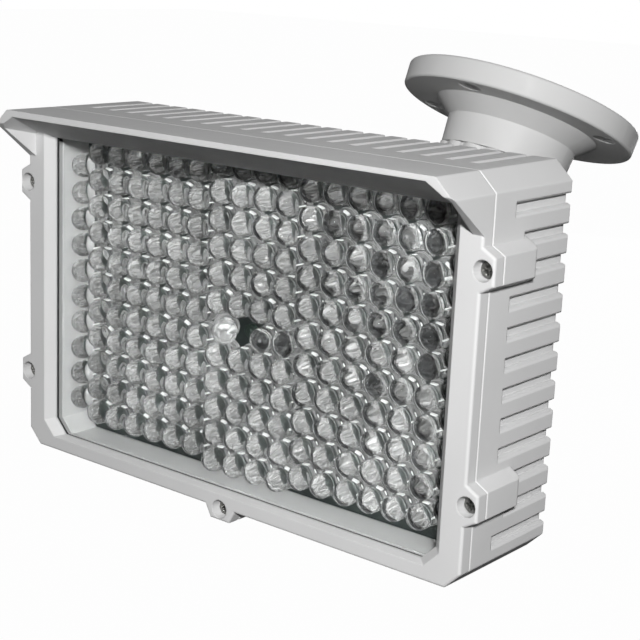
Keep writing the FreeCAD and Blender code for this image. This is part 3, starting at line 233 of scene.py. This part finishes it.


# The rear housing is a deep aluminium tray, die cast, with cooling ribs on its roof, floor and sides.
# The front bezel with its hood is a second casting. Both are powder coated in one light grey.
# The housing's edges carry only a faint painted highlight.
coated_housing = finish("coated_housing", (0.64, 0.64, 0.64, 1), MATT_COAT,
                        Roughness=COAT_ROUGHNESS, Wear=0.02)
dress(coated_housing, "rear_housing", "front_bezel")


# A rubber gasket lies between bezel and window, and a pale foam strip behind the window.
# Each is one closed loop, squeezed by the bezel's screws. The cable gland's seal is the same rubber.
rubber = finish("rubber", (0.035, 0.036, 0.037, 1), {}, Roughness=0.62, Mottle=0.1, Grain=2600.0)
foam = finish("foam", (0.45, 0.45, 0.45, 1), {}, Roughness=0.9, Mottle=0.08, Grain=1400.0, Relief=0.00015)
dress(rubber, "bezel_gasket", "gland_seal")
dress(foam, "glass_seal")


# The window is flat float glass, clear, with polished faces.
# It lies in the bezel's seat, between the gasket and the foam strip.
def clear_material(name, colour, roughness, ior, shadow):
    """Clear glass or resin. Lamp light passes straight through it, so it casts only a pale shadow:
    the shadow value is the share of the light that passes."""
    material = bpy.data.materials.new(name)
    material.use_nodes = True
    tree = material.node_tree
    shader = tree.nodes["Principled BSDF"]
    shader.inputs["Transmission Weight"].default_value = 1.0
    shader.inputs["IOR"].default_value = ior
    shader.inputs["Base Color"].default_value = colour
    shader.inputs["Roughness"].default_value = roughness
    passing = tree.nodes.new("ShaderNodeBsdfTransparent")
    passing.inputs["Color"].default_value = (shadow, shadow, shadow, 1)
    path = tree.nodes.new("ShaderNodeLightPath")
    either = tree.nodes.new("ShaderNodeMixShader")
    tree.links.new(path.outputs["Is Shadow Ray"], either.inputs["Fac"])
    tree.links.new(shader.outputs[0], either.inputs[1])
    tree.links.new(passing.outputs[0], either.inputs[2])
    tree.links.new(either.outputs[0], tree.nodes["Material Output"].inputs["Surface"])
    return material


float_glass = clear_material("float_glass", (0.97, 0.99, 0.98, 1), roughness=0.0, ior=1.12, shadow=0.97)
dress(float_glass, "window_glass")


# The tray round the diodes is moulded in a pale plastic and reflects stray light forwards.
# Its front flange lies behind the foam strip, and its rear ledge carries the diode board.
tray_plastic = finish("tray_plastic", (0.44, 0.44, 0.44, 1), {}, Roughness=0.4, Grain=900.0)
dress(tray_plastic, "led_tray")


# The circuit boards are glass fibre under a very dark green solder mask.
# The front one carries the diodes, and the one behind it the parts that drive them.
board_green = finish("board_green", (0.012, 0.017, 0.016, 1), {}, Roughness=0.45, Mottle=0.4)
dress(board_green, "led_board", "driver_board")


# The lamp diodes are cast in clear epoxy, ten millimetres across, with a round dome and a rim at the foot.
# In each, a silvered plate carries a cup with the crystal, and a tab and a thin post stand beside it.
# They are soldered to the board in upright columns. Three near the light sensor lean.
MM = 0.001
HOOD_REACH = 18.8 * MM
HALF_HEIGHT = 71.0 * MM
BEZEL_LOW, BEZEL_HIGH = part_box("front_bezel")
FACE_MIDDLE = np.array([
    (BEZEL_LOW.x + BEZEL_HIGH.x) / 2,
    BEZEL_LOW.y + HOOD_REACH,
    BEZEL_HIGH.z - HALF_HEIGHT,
])
BOARD_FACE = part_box("leds")[1].y
COLUMNS, MIDDLE_COLUMNS = range(-8, 8), range(-2, 2)
COLUMN_PITCH = 11.0
FIELD_UP = -0.45
SIDE_COLUMNS = ((94.0, -0.45), (-92.6, -1.35))
ROWS = {"count": 11, "pitch": 10.91}
MIDDLE_ROWS = {"count": 12, "pitch": 10.6}
SIDE_ROWS = {"count": 10, "pitch": 10.91}
SENSOR_PLACE = (-5.5, -5.75)
SLIGHT_LEAN = 0.012
LEANING_DIODES = (
    ((-16.5, -5.75), (0.75, -0.05)),
    ((5.5, -5.75), (0.24, 0.03)),
    ((16.5, -5.75), (0.1, 0.08)),
)
DIODE_SIDES, CUP_SIDES, CRYSTAL_SIDES = 16, 12, 8
FOOT_RADIUS, FOOT_HEIGHT, FOOT_SLOPE = 5.2, 1.4, 0.05
DOME_RADIUS, DOME_CENTRE = 4.85, 8.45
DOME_ANGLES = np.radians([0, 16, 32, 48, 64, 78])
SHARP_EDGE = math.radians(40)


def diode_column(across, middle, count, pitch):
    """One upright column of diodes, evenly spaced about its middle height."""
    up = middle + pitch * (np.arange(count) - (count - 1) / 2)
    return np.column_stack([np.full(count, across), up])


def nearest(places, point):
    """The number of the place that lies nearest to a point."""
    return np.hypot(*(places - point).T).argmin()


def diode_places():
    """Each diode's centre on the board, across and up in millimetres: sixteen columns at one pitch, with
    one row more in the middle four, then a shorter column at each side. The light sensor's place is
    left out."""
    columns = []
    for column in COLUMNS:
        rows = MIDDLE_ROWS if column in MIDDLE_COLUMNS else ROWS
        columns.append(diode_column(COLUMN_PITCH * (column + 0.5), FIELD_UP, **rows))
    for across, middle in SIDE_COLUMNS:
        columns.append(diode_column(across, middle, **SIDE_ROWS))
    places = np.vstack(columns)
    return np.delete(places, nearest(places, SENSOR_PLACE), axis=0)


def on_head(points):
    """Points in millimetres across, up and back from the bezel's face, placed in the row frame."""
    points = np.asarray(points, float)
    return FACE_MIDDLE + MM * points[..., [0, 2, 1]]


def leaning(centres, lean):
    """Matrices that stand a diode on the board at each centre, its axis towards the window.
    The lean is how far its tip moves across and up, as a share of its height. The two side vectors are
    square to the axis, one of them level. A leaning diode rests on the edge of its foot, so its middle
    rises by the foot's radius times the sine of the lean."""
    axis = np.stack([lean[:, 0], -np.ones(len(lean)), lean[:, 1]], axis=1)
    axis /= np.linalg.norm(axis, axis=1)[:, None]
    right = np.cross(axis, np.array([0.0, 0.0, 1.0]))
    right /= np.linalg.norm(right, axis=1)[:, None]
    up = np.cross(right, axis)
    foot = on_head(np.column_stack([centres, np.zeros(len(centres))]))
    foot[:, 1] = BOARD_FACE - FOOT_RADIUS * MM * np.hypot(axis[:, 0], axis[:, 2])
    return np.stack([-right * MM, up * MM, axis * MM, foot], axis=2)


def walls_between(rings):
    """Faces between neighbouring rings of points: a point and the next one on its ring, then the same
    two on the ring above."""
    low, high = rings[:-1], rings[1:]
    corners = [low, np.roll(low, -1, axis=1), np.roll(high, -1, axis=1), high]
    return np.stack(corners, axis=-1).reshape(-1, 4)


def fan(pole, ring):
    """Triangles from one point to each pair of neighbours on a ring."""
    return np.stack([np.full(len(ring), pole), ring, np.roll(ring, -1)], axis=1)


def turned(profile, sides):
    """A profile of radii and heights turned about its axis: point (i, j) has radius and height i, at
    angle j. The first and last radius are nought, so each end closes in one point. A shape is its points,
    and its faces in arrays, each with one number of corners."""
    profile = np.asarray(profile, float)
    radii, heights = profile[1:-1].T
    turn = np.arange(sides) * 2 * math.pi / sides
    grid = np.stack([
        np.outer(radii, np.cos(turn)),
        np.outer(radii, np.sin(turn)),
        np.outer(heights, np.ones(sides)),
    ], axis=-1).reshape(-1, 3)
    points = np.vstack([[0, 0, profile[0, 1]], grid, [0, 0, profile[-1, 1]]])
    rings = 1 + np.arange(len(grid)).reshape(-1, sides)
    return points, [fan(0, rings[0][::-1]), walls_between(rings), fan(len(points) - 1, rings[-1])]


def repeated(shape, places):
    """Copies of one shape. Each place is a 3 x 4 matrix: three columns that multiply a point and so turn
    the shape, and one that is added and says where it goes."""
    points, faces = shape
    copies = np.einsum("nij,pj->npi", places[:, :, :3], points) + places[:, None, :, 3]
    first = len(points) * np.arange(len(places))[:, None, None]
    return copies.reshape(-1, 3), [(group + first).reshape(-1, group.shape[1]) for group in faces]


def piece_of(name, shape, material, body):
    """A mesh piece in the row frame that rides on a body, shaded smooth between its sharp edges."""
    points, faces = shape
    mesh = bpy.data.meshes.new(name)
    mesh.from_pydata(points.tolist(), [], [face for group in faces for face in group.tolist()])
    mesh.polygons.foreach_set("use_smooth", np.ones(len(mesh.polygons), bool))
    mesh.set_sharp_from_angle(angle=SHARP_EDGE)
    mesh.materials.append(material)
    piece = bpy.data.objects.new(name, mesh)
    bpy.context.scene.collection.objects.link(piece)
    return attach(piece, body)


DIODES = diode_places()
chance = np.random.default_rng(7)
LEAN = chance.normal(0, SLIGHT_LEAN, (len(DIODES), 2))
for place, lean in LEANING_DIODES:
    LEAN[nearest(DIODES, place)] = lean
DIODE_FRAMES = leaning(DIODES, LEAN)

lens_profile = np.vstack([
    [(0, 0), (FOOT_RADIUS, 0), (FOOT_RADIUS, FOOT_HEIGHT), (DOME_RADIUS, FOOT_HEIGHT + FOOT_SLOPE)],
    np.column_stack([DOME_RADIUS * np.cos(DOME_ANGLES), DOME_CENTRE + DOME_RADIUS * np.sin(DOME_ANGLES)]),
    [(0, DOME_CENTRE + DOME_RADIUS)],
])
resin = clear_material("clear_epoxy", (0.93, 0.93, 0.93, 1), roughness=0.02, ior=1.5, shadow=0.9)
lenses = repeated(turned(lens_profile, DIODE_SIDES), DIODE_FRAMES)
diode_lenses = piece_of("diode_lenses", lenses, resin, "head")
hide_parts("leds")

# What each diode holds, in millimetres about its axis: profiles of radii and heights from the foot up,
# and outlines of the two flat parts, across and up. The plate sits a little off the axis.
RIM = ((0, 0.05), (5.25, 0.05), (5.25, 0.2), (0, 0.2))
WASHER = ((0, 0.25), (5.1, 0.25), (5.1, 0.4), (0, 0.4))
SHADE_DISC = ((0, 0.42), (4.4, 0.42), (4.4, 0.5), (0, 0.5))
PLATE = ((0, 0.5), (4.0, 0.5), (3.9, 0.9), (2.2, 1.2), (0, 1.2))
CUP = ((0, 1.2), (1.25, 1.2), (1.25, 1.5), (0.8, 1.5), (0, 1.35))
CRYSTAL = ((0, 1.3), (0.6, 1.3), (0.45, 1.7), (0, 1.7))
TAB = ((-1.1, 3.5), (1.1, 3.0), (1.2, 4.7), (-0.5, 5.3))
TAB_THICK, TAB_UP = 0.7, 3.1
THIN_POST = ((-0.3, 1.0), (0.3, 1.0), (0.2, 5.0), (-0.2, 5.0))
POST_THICK, POST_ACROSS, POST_UP = 0.3, 0.4, -1.2
SHADE_DISC_OFF, CRYSTAL_OFF = -0.3, 0.1
PLATE_OFF, PLATE_SCATTER = (0.3, 0.2), 0.15
SPIN_SCATTER = math.radians(16)


def post(outline, thick):
    """A flat post: its outline in the plane of the lead frame, with a front and a back."""
    outline = np.array(outline, float)
    count = len(outline)
    sides = [np.column_stack([outline[:, 0], np.full(count, side * thick / 2), outline[:, 1]])
             for side in (-1, 1)]
    rings = np.arange(2 * count).reshape(2, count)
    return np.vstack(sides), [rings[:1, ::-1], rings[1:], walls_between(rings)]


def together(*shapes):
    """Several shapes as one."""
    points, faces = np.zeros((0, 3)), []
    for some_points, some_faces in shapes:
        faces += [group + len(points) for group in some_faces]
        points = np.vstack([points, some_points])
    return points, faces


def shifted(shape, across, up):
    """A shape moved sideways on its foot."""
    return shape[0] + np.array([across, up, 0.0]), shape[1]


def spun(frames, angles):
    """Frames turned about their own axis: each side vector becomes a mix of the two, by the angle's
    cosine and sine."""
    cosine, sine = np.cos(angles)[:, None], np.sin(angles)[:, None]
    across, up = frames[:, :, 0], frames[:, :, 1]
    new_frames = frames.copy()
    new_frames[:, :, 0] = across * cosine + up * sine
    new_frames[:, :, 1] = up * cosine - across * sine
    return new_frames


def in_diodes(name, shape, material, frames=DIODE_FRAMES):
    """One inner part, repeated in every diode."""
    piece_of(name, repeated(shape, frames), material, "head")


PLATE_FRAMES = leaning(DIODES + chance.normal(PLATE_OFF, PLATE_SCATTER, (len(DIODES), 2)), LEAN)
SPIN = chance.normal(0, SPIN_SCATTER, len(DIODES))
silvered = finish("silvered", (0.34, 0.34, 0.34, 1), {"Metallic": 0.4}, Roughness=0.22, Mottle=0.3,
                  Grain=1100.0, Relief=0.005, Along=(0.8, 1, 1.1))
# The tabs, thin posts and crystals are plain white: a painted glint inside each diode.
painted_glint_white = finish("painted_glint_white", (0.95, 0.95, 0.95, 1), {}, Roughness=0.3)
# The rims and washers are a pale grey: painted reflected light under each lens.
reflected_light_grey = finish("reflected_light_grey", (0.33, 0.33, 0.33, 1), {}, Roughness=0.35, Mottle=0.3, Relief=0.003)
# The dark foot discs and the cups are near black: painted shade under each lead frame.
painted_shade_black = finish("painted_shade_black", (0.025, 0.026, 0.027, 1), {}, Roughness=0.35, Mottle=0.5, Relief=0.003)
in_diodes("diode_rims", turned(RIM, DIODE_SIDES), reflected_light_grey)
in_diodes("diode_washers", turned(WASHER, DIODE_SIDES), reflected_light_grey)
in_diodes("diode_shade_discs", shifted(turned(SHADE_DISC, DIODE_SIDES), SHADE_DISC_OFF, SHADE_DISC_OFF), painted_shade_black)
in_diodes("diode_lead_feet", turned(PLATE, DIODE_SIDES), silvered, PLATE_FRAMES)
in_diodes("diode_cups", turned(CUP, CUP_SIDES), painted_shade_black, PLATE_FRAMES)
in_diodes("diode_crystals", shifted(turned(CRYSTAL, CRYSTAL_SIDES), CRYSTAL_OFF, CRYSTAL_OFF),
          painted_glint_white, PLATE_FRAMES)
tab = shifted(post(TAB, TAB_THICK), 0, TAB_UP)
thin_post = shifted(post(THIN_POST, POST_THICK), POST_ACROSS, POST_UP)
in_diodes("diode_lead_posts", together(tab, thin_post), painted_glint_white, spun(DIODE_FRAMES, SPIN))


# The light sensor stands in the place of one diode and switches the lamp on at dusk.
# It is a small cell cast in a dark, smoky resin, soldered to the diode board.
sensor_resin = finish("sensor_resin", (0.012, 0.02, 0.016, 1), {}, Roughness=0.4)
dress(sensor_resin, "photocell")


# Five pan-head screws with a cross recess hold the bezel, each sunk in an ear.
# They are steel with a dull plating, and go through the bezel into the housing's bosses.
SCREW_PLACES = np.array([(110.5, 40), (110.5, -40), (-110.5, 40), (-110.5, -40), (0, -71.5)])
SCREW_SEAT = 4.6
HEAD_RADIUS, HEAD_HEIGHT = 3.0, 1.6
HEAD_SIDES, HEAD_RINGS = 48, 14
SHOULDER_SHARE = 0.62
ARM_HALF_WIDTH, ARM_FLARE = 0.13, 1.6
ARM_REACH, ARM_END = 0.62, 5
RECESS_DEPTH = 0.75


def screw_head():
    """A low dome with a cross recess: point (i, j) is at share i of the radius, at angle j. The dome is a
    shoulder plus the root of one less the share to the fourth power. It is sunk where the distance to
    either arm's line is small, out to the arm's reach. Its shares are of the head's radius and height."""
    share = np.linspace(1, 0, HEAD_RINGS + 1)[:-1]
    turn = np.arange(HEAD_SIDES) * 2 * math.pi / HEAD_SIDES
    across = HEAD_RADIUS * np.outer(share, np.cos(turn))
    up = HEAD_RADIUS * np.outer(share, np.sin(turn))
    crown = HEAD_HEIGHT * (SHOULDER_SHARE + (1 - SHOULDER_SHARE) * np.sqrt(np.clip(1 - share**4, 0, 1)))
    arm = np.minimum(np.abs(across), np.abs(up)) / (ARM_HALF_WIDTH * HEAD_RADIUS)
    reach = np.hypot(across, up) / (ARM_REACH * HEAD_RADIUS)
    sunk = np.clip(ARM_FLARE - arm, 0, 1) * np.clip((1 - reach) * ARM_END, 0, 1)
    level = crown[:, None] - RECESS_DEPTH * HEAD_HEIGHT * sunk
    rim = np.column_stack([HEAD_RADIUS * np.cos(turn), HEAD_RADIUS * np.sin(turn), np.zeros(HEAD_SIDES)])
    dome = np.stack([across, up, level], axis=-1).reshape(-1, 3)
    points = np.vstack([rim, dome, [[0, 0, (1 - RECESS_DEPTH) * HEAD_HEIGHT]]])
    rings = np.arange(len(points) - 1).reshape(-1, HEAD_SIDES)
    return points, [walls_between(rings), fan(len(points) - 1, rings[-1]), rings[:1, ::-1]]


screw_frames = leaning(SCREW_PLACES, np.zeros(SCREW_PLACES.shape))
screw_frames[:, 1, 3] = FACE_MIDDLE[1] + SCREW_SEAT * MM
dull_steel = finish("dull_steel", (0.24, 0.24, 0.23, 1), METAL, Roughness=0.3, Grain=2500.0, Relief=0.00002)
bezel_screw_heads = piece_of("bezel_screw_heads", repeated(screw_head(), screw_frames), dull_steel, "head")
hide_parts("bezel_screws")


# Four brass standoffs between the rear wall and the tray carry the diode board.
# The driver's parts, in sleeve, ferrite and moulded plastics, are soldered to a board of their own.
brass = finish("brass", (0.62, 0.43, 0.16, 1), METAL, Roughness=0.3)
dress(brass, "board_standoffs")
dress(finish("sleeve", (0.02, 0.02, 0.03, 1), {}, Roughness=0.3), "driver_capacitors")
dress(finish("ferrite", (0.03, 0.03, 0.03, 1), {}, Roughness=0.7), "driver_inductor")
dress(finish("terminal_green", (0.05, 0.28, 0.09, 1), {}, Roughness=0.4), "terminal_block")
dress(finish("connector_ivory", (0.7, 0.68, 0.6, 1), {}, Roughness=0.4), "board_connector")


# The cable gland is moulded nylon: a body through the rear wall, with a rubber seal in its cap.
# A nut of the same nylon clamps it from inside.
nylon = finish("nylon", (0.03, 0.03, 0.032, 1), {}, Roughness=0.42)
dress(nylon, "cable_gland", "gland_nut")


# The camera stands to the right of the lamp and a little above it, with a long lens, slightly rolled.
# Its angles, its place and its lens were fitted to the outlines of the housing and the flange.
AZIMUTH, ELEVATION, ROLL = (math.radians(angle) for angle in (38.72, 13.91, 2.56))
CAMERA_AT = (0.3591, -0.5887, 0.0624)
LENS, SENSOR_WIDTH = 83.914, 36.0
NEAREST_SEEN = 0.01

back = np.array([math.sin(AZIMUTH) * math.cos(ELEVATION), -math.cos(AZIMUTH) * math.cos(ELEVATION),
                 math.sin(ELEVATION)])
level_right = np.array([math.cos(AZIMUTH), math.sin(AZIMUTH), 0])
level_up = np.cross(back, level_right)
right = level_right * math.cos(ROLL) + level_up * math.sin(ROLL)
up = level_up * math.cos(ROLL) - level_right * math.sin(ROLL)
camera = bpy.data.objects.new("camera", bpy.data.cameras.new("camera"))
camera.data.lens = LENS
camera.data.sensor_width = SENSOR_WIDTH
camera.data.clip_start = NEAREST_SEEN
camera_frame = np.eye(4)
camera_frame[:3, :3] = np.column_stack([right, up, back])
camera_frame[:3, 3] = CAMERA_AT
bpy.context.scene.collection.objects.link(camera)
camera.matrix_world = Matrix(camera_frame)
bpy.context.scene.camera = camera


# The studio is pale: a matt floor below the hanging lamp, a white surround, and soft boxes.
# The floor is white only to the camera, and the surround only to the camera, gloss and glass,
# so that neither adds much light to the object.
FLOOR_DROP, FLOOR_REACH = 0.16, 6
FLOOR_GREY = (0.06, 0.06, 0.06, 1)
FLOOR_ROUGHNESS = 0.9
FLOOR_WHITE = 0.985
AMBIENT = 0.02
SURROUND = (("Is Glossy Ray", 0.3), ("Is Transmission Ray", 0.1), ("Is Camera Ray", 1.0))

floor_level = cad_low.z - FLOOR_DROP
corners = [(FLOOR_REACH * x, FLOOR_REACH * y, floor_level) for x, y in ((-1, -1), (1, -1), (1, 1), (-1, 1))]
floor_mesh = bpy.data.meshes.new("floor")
floor_mesh.from_pydata(corners, [], [(0, 1, 2, 3)])
floor = bpy.data.objects.new("floor", floor_mesh)
bpy.context.scene.collection.objects.link(floor)
white_floor = bpy.data.materials.new("white_floor")
white_floor.use_nodes = True
tree = white_floor.node_tree
paper = tree.nodes["Principled BSDF"]
paper.inputs["Base Color"].default_value = FLOOR_GREY
paper.inputs["Roughness"].default_value = FLOOR_ROUGHNESS
glow = tree.nodes.new("ShaderNodeEmission")
mix = tree.nodes.new("ShaderNodeMixShader")
path = tree.nodes.new("ShaderNodeLightPath")
seen = worked_out(tree, "MULTIPLY", path.outputs["Is Camera Ray"], FLOOR_WHITE)
tree.links.new(seen, mix.inputs["Fac"])
tree.links.new(paper.outputs[0], mix.inputs[1])
tree.links.new(glow.outputs[0], mix.inputs[2])
tree.links.new(mix.outputs[0], tree.nodes["Material Output"].inputs["Surface"])
floor_mesh.materials.append(white_floor)

world = bpy.data.worlds.new("studio")
bpy.context.scene.world = world
world.use_nodes = True
tree = world.node_tree
path = tree.nodes.new("ShaderNodeLightPath")
strength = AMBIENT
for ray, level in SURROUND:
    share = worked_out(tree, "MULTIPLY", path.outputs[ray], level)
    strength = worked_out(tree, "MAXIMUM", share, strength)
tree.links.new(strength, tree.nodes["Background"].inputs["Strength"])
tree.nodes["Background"].inputs["Color"].default_value = (1, 1, 1, 1)


def soft_box(name, azimuth, elevation, distance, width, power):
    """A square lamp aimed at the middle of the object, from an azimuth and an elevation in degrees."""
    turn, rise = math.radians(azimuth), math.radians(elevation)
    middle = np.array((cad_low + cad_high) / 2)
    way = np.array([math.sin(turn) * math.cos(rise), -math.cos(turn) * math.cos(rise), math.sin(rise)])
    across = np.array([math.cos(turn), math.sin(turn), 0])
    placed = np.eye(4)
    placed[:3, :3] = np.column_stack([across, np.cross(way, across), way])
    placed[:3, 3] = middle + distance * way
    lamp = bpy.data.objects.new(name, bpy.data.lights.new(name, "AREA"))
    lamp.data.size = width
    lamp.data.energy = power
    bpy.context.scene.collection.objects.link(lamp)
    lamp.matrix_world = Matrix(placed)


soft_box("key", azimuth=37.5, elevation=20.0, distance=0.87, width=0.05, power=7.8)
soft_box("left_fill", azimuth=-70, elevation=25, distance=1.5, width=0.8, power=2.2)
soft_box("rear_fill", azimuth=200, elevation=-4, distance=1.5, width=0.8, power=16.0)

bpy.context.scene.view_settings.view_transform = "Standard"
